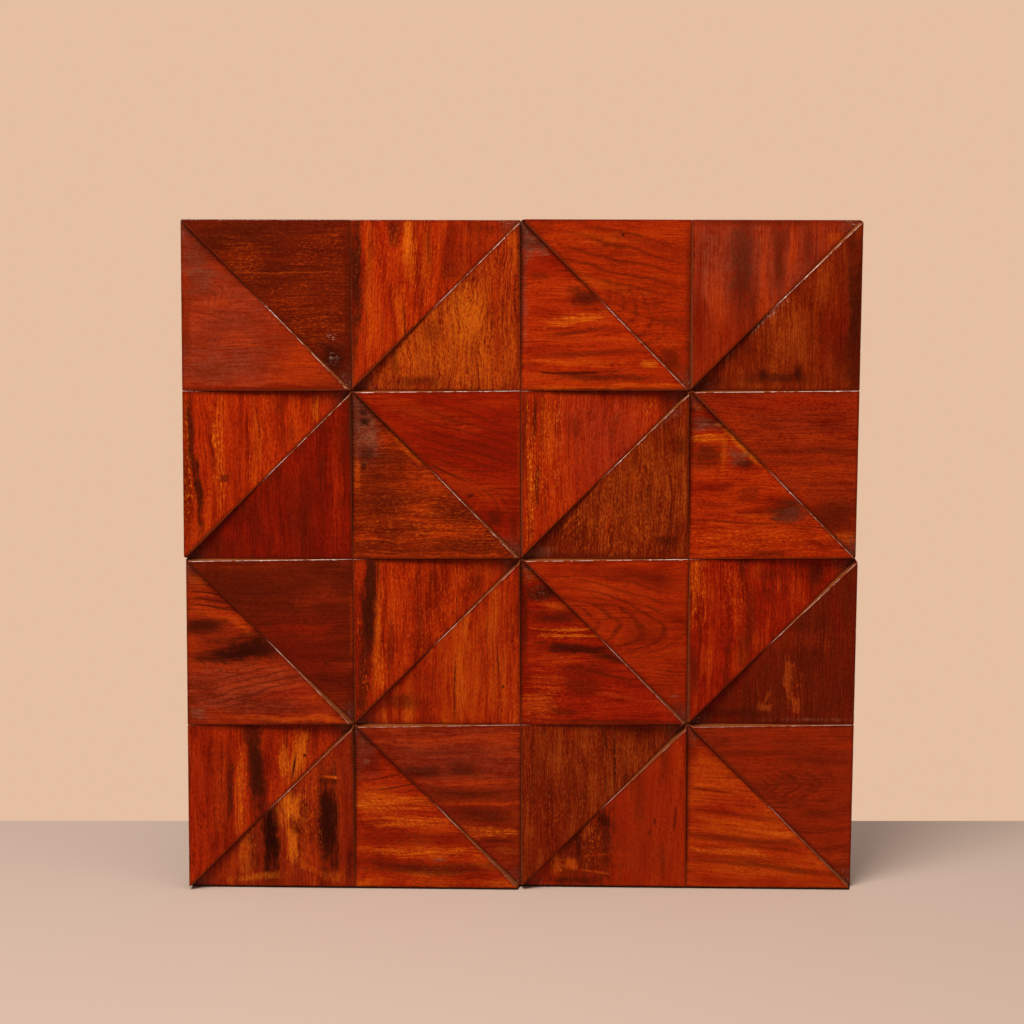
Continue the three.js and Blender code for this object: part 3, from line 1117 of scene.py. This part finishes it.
lacquer = {
    # Length and width of each figure in the grain, mm
    "broad": (120, 8),
    "fine": (34, 1.2),
    "fibre": (3.2, 0.6),
    "fleck": (3, 1.3),
    "mottle": (9, 6),
    "cloud": (46, 20),
    "vein": (70, 1.8),
    "swaySize": (55, 24, 40),
    "sway": 2.2,  # mm
    "toneStops": (0.1, 0.5, 0.9),  # of the dark, usual and light tone
    "raggedness": 0.9,  # of the marks' edges
    "textureRange": (0.35, 1.35),  # how dark and bright fibres make the stain
    # darkening along the joints, partly dirt and partly painted shade: its width and strength
    "jointShadeAndDirtWidth": 2.6,  # along the joints, mm
    "jointShadeAndDirtAmount": 0.5,
    # near the low tip, which lies in a recess, the wood is darkened as painted shade, greyed as
    # painted sheen, and scratched
    "lowTipReach": (26, 4),  # mm from the low tip, where dust starts and where it is full
    "outerSide": (2.5 * mm, 1.5 * mm),  # how near the outline a side is an outer one
    "outerStain": 0.4,  # how much darker the outer sides are
    "roughness": 0.2,
    "coat": 0.5,
    "coatRoughness": 0.1,
    "specular": 0.1,
    "bump": 0.25,
    "bumpDepth": 0.15 * mm,
    "sideUp": (0.21, 0.047, 0.009),  # dusty bare wood on ledges that face up
    # painted light: sides that face down get this brighter colour to make up for the shade they
    # lie in
    "sideDown": (0.42, 0.074, 0.017),
    "sideLevel": (0.17, 0.03, 0.006),
    # painted contact shadow: the near black painted along the edge that the panel stands on
    "foot": (0.022, 0.008, 0.004),  # the soiled edge that the panel stands on
    "footHeight": (1.9 * mm, 0.9 * mm),
    # painted highlight: the colour painted on the arris where it catches the light
    "paintedHighlight": (0.72, 0.56, 0.48),  # the arris where it catches the light
}


def makeWood(name, wood, half, left, top, lowTip):
    material, graph = newMaterial(name)
    coordinates = graph.node("ShaderNodeTexCoord", output="Object")
    upright = half["grain"] == "upright"
    seed = sum(ord(letter) * (i + 3) for i, letter in enumerate(name)) % 97

    # Millimetres along and across the grain, with the grain swaying
    corner = (-left / mm, seed * 31.0, top / mm)
    perMm = (1 / mm, 1 / mm, -1 / mm)
    x, y, z = graph.separate(graph.vector("MULTIPLY_ADD", coordinates, perMm, corner))
    along, across = (z, x) if upright else (x, z)
    place = graph.combine(along, across, y)
    swayScale = tuple(1 / length for length in lacquer["swaySize"])
    sway = graph.noise(graph.vector("MULTIPLY", place, swayScale), 2.0) - 0.5
    swayDepth = 4 * lacquer["sway"] * wood.get("sway", 1)
    lean = math.tan(math.radians(wood.get("lean", 0))) * (-1 if upright else 1)
    swayed = across + sway * swayDepth
    grain = graph.combine(along, swayed - along * lean, y)

    def grainNoise(figure, detail, roughness=0.55):
        length, width = lacquer[figure]
        scale = (1 / length, 1 / width, 1 / (3 * width))
        return graph.noise(graph.vector("MULTIPLY", grain, scale), detail, roughness)

    broad = grainNoise("broad", 2.0, 0.5)
    fine = grainNoise("fine", 2.0, 0.6)
    fibre = grainNoise("fibre", 1.0)
    fleck = grainNoise("fleck", 2.0, 0.6)
    mottle = grainNoise("mottle", 3.0, 0.6)
    cloud = grainNoise("cloud", 1.0)
    vein = graph.ease(grainNoise("vein", 1.0), 0.36, 0.3)
    streaks = wood["streaks"]
    shade = 0.5 + (broad - 0.5) * (2.4 * streaks) + (fine - 0.5) * (0.8 * streaks)
    shade = shade + (mottle - 0.5) * 0.5 + (cloud - 0.5) * 0.9
    stops = list(zip(lacquer["toneStops"], (stain[tone] for tone in wood["tones"])))
    colour = graph.node("ShaderNodeValToRGB", {"stops": stops}, {0: shade}, 0)
    colour = graph.blend(vein * 0.45, colour, stain["umber"])

    # The block's own marks, with ragged edges that follow the grain
    ragged = 1 + (fine - 0.5) * 2 * lacquer["raggedness"] + (mottle - 0.5) * 1.6
    drawn = (swayed, along, 0.0) if upright else (along, swayed, 0.0)
    drawn = graph.combine(*drawn)
    crossed = graph.noise(graph.vector("MULTIPLY", place, (1.1, 0.16, 0.2)), 2.0, 0.6)
    sheenPattern = graph.ease(crossed + (mottle - 0.5) * 1.2, 0.2, 0.8, 0.35, 1.0)
    flecked = graph.ease(fleck + (fine - 0.5) * 0.3, 0.53, 0.67)
    for mark in wood["marks"]:
        wide, tall = (2 / s for s in mark["size"])
        offset = graph.vector("SUBTRACT", drawn, (*mark["middle"], 0))
        if mark["lean"]:
            turn = {"rotation_type": "Z_AXIS"}
            angle = {"Vector": offset, "Angle": -math.radians(mark["lean"])}
            offset = graph.node("ShaderNodeVectorRotate", turn, angle)
        scaled = graph.vector("MULTIPLY", offset, (wide, tall, 0))
        reach = graph.vector("LENGTH", scaled, output="Value")
        if mark["kind"] == "arches":
            forward, sideways, _ = graph.separate(scaled)
            bowed = forward + graph.maths("SQRT", sideways * sideways + 0.06) * 1.1
            number = bowed * (mark["size"][0] / mark["spacing"])
            number = number + (mottle - 0.5) + (cloud - 0.5) * 3
            ring = graph.maths("PINGPONG", number, 1.0)
            mask = graph.ease(ring, 0.6, 0.0) * graph.ease(reach, 1.1, 0.5)
            mask = mask * graph.ease(mottle, 0.3, 0.6)
        elif mark["kind"] == "lines":
            spread = graph.vector("MULTIPLY", offset, (0, 2 / mark["spacing"], 0))
            number = graph.separate(spread)[1] + (mottle - 0.5) * 0.6 + (cloud - 0.5) * 2
            ring = graph.maths("PINGPONG", number, 1.0)
            mask = graph.ease(ring, 0.5, 0.0) * graph.ease(ragged - reach, -0.2, 0.6)
            mask = mask * graph.ease(fine, 0.2, 0.5)
        else:  # squarer than an ellipse
            squared = graph.vector("MULTIPLY", scaled, scaled)
            reach = graph.maths("SQRT", graph.vector("LENGTH", squared, output="Value"))
            mask = graph.ease(ragged - reach, -0.45, 0.65)
        if mark["kind"] == "flecks":
            mask = mask * flecked
        # marks in the sheen tone are painted reflection, broken up by a streaky pattern
        if mark["tone"] == "paintedSheen":
            mask = mask * sheenPattern
        colour = graph.blend(mask * mark["strength"], colour, stain[mark["tone"]])

    # Fibres and pores run through stain and marks alike
    darkest, brightest = lacquer["textureRange"]
    uneven = (fine - 0.5) * 0.9 + (fibre - 0.5) * 0.9 + (fleck - 0.5) * 0.8
    texture = uneven * wood.get("grit", 1) + 0.98
    texture = graph.maths("MINIMUM", graph.maths("MAXIMUM", texture, darkest), brightest)
    warmth = texture * texture
    colour = graph.vector("MULTIPLY", colour, graph.combine(texture, warmth, warmth))
    pore = graph.ease(fibre + (fine - 0.5) * 0.6, 0.4, 0.32)
    colour = graph.blend(pore * wood.get("pores", 0.3), colour, stain["umber"])

    # Darkening along the joints, partly dirt and partly painted shade, and near the low tip
    # painted shade, painted sheen and scratches
    edge = graph.node("ShaderNodeAttribute", {"attribute_name": "fromEdge"}, {}, "Fac")
    onSide = graph.node("ShaderNodeAttribute", {"attribute_name": "onSide"}, {}, "Fac")
    smudge = graph.noise(graph.scaled(place, 0.22), 3.0, 0.6)
    # partly dirt, partly painted shade along the joints
    jointShadeAndDirt = graph.ease(edge + (smudge - 0.5) * 4, lacquer["jointShadeAndDirtWidth"], 0.0)
    colour = graph.blend(jointShadeAndDirt * lacquer["jointShadeAndDirtAmount"], colour, stain["umber"])
    tipOffset = graph.vector("SUBTRACT", graph.combine(x, z, 0.0), (*lowTip, 0))
    fromTip = graph.vector("LENGTH", tipOffset, output="Value")
    nearLowTip = graph.ease(fromTip + (smudge - 0.5) * 40, *lacquer["lowTipReach"])
    # painted shade and painted sheen near the low tip
    colour = graph.blend(nearLowTip * 0.4, colour, stain["soot"])
    colour = graph.blend(nearLowTip * sheenPattern * 0.35, colour, stain["paintedSheen"])
    scratchPlace = graph.vector("MULTIPLY", place, (0.9, 0.25, 0.3))
    scratch = graph.ease(graph.noise(scratchPlace, 2.0, 0.6), 0.6, 0.72)
    colour = graph.blend(scratch * nearLowTip * 0.5, colour, stain["dust"])

    # Sawn sides are bare wood, dusty and grimy on the ledges that face up, and painted brighter
    # where they face down, as painted light that makes up for the shade they lie in. On the
    # outline of the panel they are stained and lacquered like the faces.
    normal = graph.node("ShaderNodeTexCoord", output="Normal")
    upward = graph.separate(normal)[2]
    spotX, _, spotZ = graph.separate(graph.vector("ABSOLUTE", coordinates))
    inner, full = (panelHalf - depth for depth in lacquer["outerSide"])
    outer = graph.ease(graph.maths("MAXIMUM", spotX, spotZ), inner, full)
    level = graph.ease(upward, -0.35, 0.1)
    sideWood = graph.blend(level, lacquer["sideDown"], lacquer["sideLevel"])
    ledge = graph.ease(upward, 0.2, 0.6) * (1 - outer)
    sideWood = graph.blend(ledge, sideWood, lacquer["sideUp"])
    grime = graph.ease(graph.noise(graph.scaled(place, 0.35), 3.0, 0.6), 0.5, 0.66)
    sideWood = graph.blend(grime * ledge * 0.6, sideWood, lacquer["sideLevel"])
    sawn = graph.ease(onSide, 0.15, 0.75)
    colour = graph.blend(sawn * outer * lacquer["outerStain"], colour, stain["umber"])
    colour = graph.blend(sawn * (1 - outer), colour, graph.scaled(sideWood, texture))

    # Painted contact shadow: the lowest two millimetres of the panel, by the floor, are painted
    # near black
    _, depth, height = graph.separate(coordinates)
    shadowStart, shadowFull = (rise - panelHalf for rise in lacquer["footHeight"])
    foot = graph.ease(height, shadowStart, shadowFull)
    colour = graph.blend(foot * 0.9, colour, lacquer["foot"])

    # The worn arris gets a painted highlight where it faces up, most of all in the upper rows
    lit = graph.ease(height, -panelHalf, panelHalf * 0.6, 0.15, 1.0)
    broken = graph.ease(graph.noise(graph.scaled(place, 0.11), 3.0, 0.65), 0.42, 0.56)
    arris = graph.ease(onSide, 0.12, 0.4) * graph.ease(onSide, 1.0, 0.7)
    rise = depth * -1 + levelFront
    proud = graph.ease(rise, -0.6 * mm, 0.4 * mm)
    start = graph.ease(rise, 1.6 * mm, 0.2 * mm) * 0.5
    paintedHighlight = arris * ledge * proud * (broken * lit + start)
    colour = graph.blend(paintedHighlight, colour, lacquer["paintedHighlight"])

    gloss = 1 - graph.ease(onSide, 0.1, 0.5) * (1 - outer)
    rough = lacquer["roughness"] + (smudge - 0.5) * 0.12 + nearLowTip * 0.12
    relief = fine * 0.6 + fibre * 0.4
    bump = {"Strength": lacquer["bump"], "Distance": lacquer["bumpDepth"], "Height": relief}
    surface = {
        "Base Color": colour,
        "Roughness": graph.maths("MAXIMUM", rough, 1 - gloss * 0.9),
        "Coat Weight": gloss * lacquer["coat"],
        "Coat Roughness": lacquer["coatRoughness"],
        "Specular IOR Level": lacquer["specular"],
        "Normal": graph.node("ShaderNodeBump", {}, bump),
    }
    giveSurface(graph, surface)
    return material


# Build every block
print("building blocks")
blockTree = makeBlockTree()
blockInputs = {
    item.name: item.identifier
    for item in blockTree.interface.items_tree
    if item.item_type == "SOCKET" and item.in_out == "INPUT"
}
lastIndex = squaresPerSide - 1
wornBlocks = []
for number, (stem, wood) in enumerate(blockWood.items()):
    node = stem + "_block"
    row, column = int(stem[3]) - 1, int(stem[8]) - 1
    sideName = stem[10:]
    half = halves[sideName]
    left = column * squarePitch - panelHalf
    top = panelHalf - row * squarePitch
    onRim = {  # whether the leg by the high tip is on the panel's outline
        "lower_left": row == lastIndex,
        "upper_right": row == 0,
        "upper_left": column == 0,
        "lower_right": column == lastIndex,
    }[sideName]
    lowTip = (half["low"][0] * squarePitch / mm, (1 - half["low"][1]) * squarePitch / mm)
    material = makeWood(stem + " lacquered wood", wood, half, left, top, lowTip)
    piece, inradius = makeBlank(node, half, left, top - squarePitch, not onRim)
    worn = piece.modifiers.new("worn wedge block", "NODES")
    worn.node_group = blockTree
    for size in [*skinSizes, "columnsPerSide"]:
        worn[blockInputs[size]] = wedge[size]
    worn[blockInputs["inradius"]] = inradius
    worn[blockInputs["seed"]] = float(number)
    worn[blockInputs["wood"]] = material
    wornBlocks.append((piece, node, material))

evaluated = bpy.context.evaluated_depsgraph_get()
for piece, node, material in wornBlocks:
    mesh = bpy.data.meshes.new_from_object(
        piece.evaluated_get(evaluated), preserve_all_data_layers=True, depsgraph=evaluated
    )
    piece.modifiers.clear()
    piece.data = mesh
    mesh.name = piece.name
    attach(piece, "root")
    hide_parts(node)
print("blocks done:", sum(len(piece.data.polygons) for piece, _, _ in wornBlocks), "faces")


# The backing board keeps its solid
plywood = {
    "face": ((0.30, 0.19, 0.10), (0.46, 0.31, 0.17), (0.56, 0.41, 0.25)),
    "faceStops": (0.05, 0.5, 0.95),
    "swaySize": (90, 90, 260),  # mm
    "sway": 90,
    "broad": (14, 40, 420),
    "fine": (1.1, 9, 30),
    "plies": 7,
    "thickness": 9,
    # painted shade: the board's front, seen only through the joints
    "frontShade": (0.02, 0.008, 0.004),
    "roughness": 0.75,
    "bump": 0.3,
    "bumpDepth": 0.2 * mm,
}


def makePlywood():
    material, graph = newMaterial("bare plywood")
    coordinates = graph.node("ShaderNodeTexCoord", output="Object")
    place = graph.scaled(coordinates, 1 / mm)
    x, y, z = graph.separate(place)

    def figure(at, name, detail, roughness=0.5):
        scale = tuple(1 / length for length in plywood[name])
        return graph.noise(graph.vector("MULTIPLY", at, scale), detail, roughness)

    sway = figure(place, "swaySize", 2.0) - 0.5
    grain = graph.combine(x + sway * plywood["sway"], y, z)
    broad = figure(grain, "broad", 3.0, 0.6)
    fine = figure(grain, "fine", 2.0)
    shade = 0.5 + (broad - 0.5) * 2.4 + (fine - 0.5) * 0.9
    stops = list(zip(plywood["faceStops"], plywood["face"]))
    colour = graph.node("ShaderNodeValToRGB", {"stops": stops}, {0: shade}, 0)

    # Every other ply is dark in the edge, and the front, which lies in shade behind the blocks,
    # is painted near black as painted shade
    ply = graph.maths("PINGPONG", y * (plywood["plies"] / plywood["thickness"]), 1.0)
    normal = graph.node("ShaderNodeTexCoord", output="Normal")
    facing = graph.separate(normal)[1]
    onEdge = 1 - graph.ease(graph.maths("ABSOLUTE", facing), 0.3, 0.6)
    banded = graph.blend(graph.ease(ply, 0.35, 0.65), colour, plywood["face"][0])
    colour = graph.blend(onEdge, colour, banded)
    colour = graph.blend(graph.ease(facing, -0.5, -0.9), colour, plywood["frontShade"])
    relief = fine * 0.7 + broad * 0.3
    bump = {"Strength": plywood["bump"], "Distance": plywood["bumpDepth"], "Height": relief}
    surface = {
        "Base Color": colour,
        "Roughness": plywood["roughness"] + (fine - 0.5) * 0.2,
        "Normal": graph.node("ShaderNodeBump", {}, bump),
    }
    giveSurface(graph, surface)
    return material


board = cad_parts["backing_board"]
boardMaterial = makePlywood()
if not board.material_slots:
    board.data.materials.append(boardMaterial)
for boardSlot in board.material_slots:
    boardSlot.material = boardMaterial
print("board done")


# Floor, light and camera
studio = {
    "floorColour": (0.49, 0.36, 0.29),
    "floorRoughness": 0.8,
    "floorDrop": 1.1 * mm,  # the panel's lower edge is not quite straight
    "backdrop": (0.79, 0.52, 0.36),
    "fill": (0.34, 0.30, 0.28),  # what lights the shaded sides
    "floorBehind": 0.242,  # floor shown behind the panel's front
    "floorSpan": 4.0,
    "softboxWidth": 1.2,
}
softboxes = {
    "key softbox": {"place": (-0.7, -1.3, 2.0), "power": 70, "colour": (1.0, 0.97, 0.93)},
    "top softbox": {"place": (0.3, -0.5, 2.2), "power": 20, "colour": (1.0, 0.98, 0.95)},
}


def makeFloor():
    span = studio["floorSpan"]
    back = cadBounds[0].y + studio["floorBehind"]
    level = cadBounds[0].z - studio["floorDrop"]
    points = [(-span, back - span, level), (span, back - span, level)]
    points += [(span, back, level), (-span, back, level)]
    mesh = bpy.data.meshes.new("floor")
    mesh.from_pydata(points, [], [(0, 1, 2, 3)])
    floor = bpy.data.objects.new("floor", mesh)
    bpy.context.scene.collection.objects.link(floor)
    material, graph = newMaterial("pale floor")
    surface = {"Base Color": studio["floorColour"], "Roughness": studio["floorRoughness"]}
    giveSurface(graph, surface)
    mesh.materials.append(material)
    floor.visible_glossy = False


def makeSoftbox(name, box):  # it looks at the middle of the panel's back
    light = bpy.data.lights.new(name, "AREA")
    light.shape = "SQUARE"
    light.size = studio["softboxWidth"]
    light.energy = box["power"]
    light.color = box["colour"]
    lamp = bpy.data.objects.new(name, light)
    lamp.location = box["place"]
    lamp.rotation_euler = (-Vector(box["place"])).to_track_quat("-Z", "Y").to_euler()
    bpy.context.scene.collection.objects.link(lamp)


def makeWorld():
    world = bpy.data.worlds.new("studio")
    world.use_nodes = True
    graph = Graph(world.node_tree)
    seen = graph.node("ShaderNodeLightPath", output="Is Camera Ray")
    colour = graph.blend(seen, studio["fill"], studio["backdrop"])
    backdrop = graph.node("ShaderNodeBackground", {}, {"Color": colour, "Strength": 1.0})
    graph.node("ShaderNodeOutputWorld", {}, {"Surface": backdrop})
    world.cycles_visibility.glossy = False  # the lacquer mirrors only the softboxes
    bpy.context.scene.world = world


makeFloor()
makeWorld()
for name, box in softboxes.items():
    makeSoftbox(name, box)

cameraView = {
    "place": (-0.008, -1.604, 0.181),
    "downwards": 5.0,  # degrees under the panel's normal
    "lens": 61.5,
    "sensor": 36,
}
cameraData = bpy.data.cameras.new("camera")
cameraData.lens = cameraView["lens"]
cameraData.sensor_width = cameraView["sensor"]
camera = bpy.data.objects.new("camera", cameraData)
camera.location = cameraView["place"]
camera.rotation_euler = (math.radians(90 - cameraView["downwards"]), 0, 0)
bpy.context.scene.collection.objects.link(camera)
bpy.context.scene.camera = camera
bpy.context.scene.view_settings.view_transform = "Standard"
print("stage done")
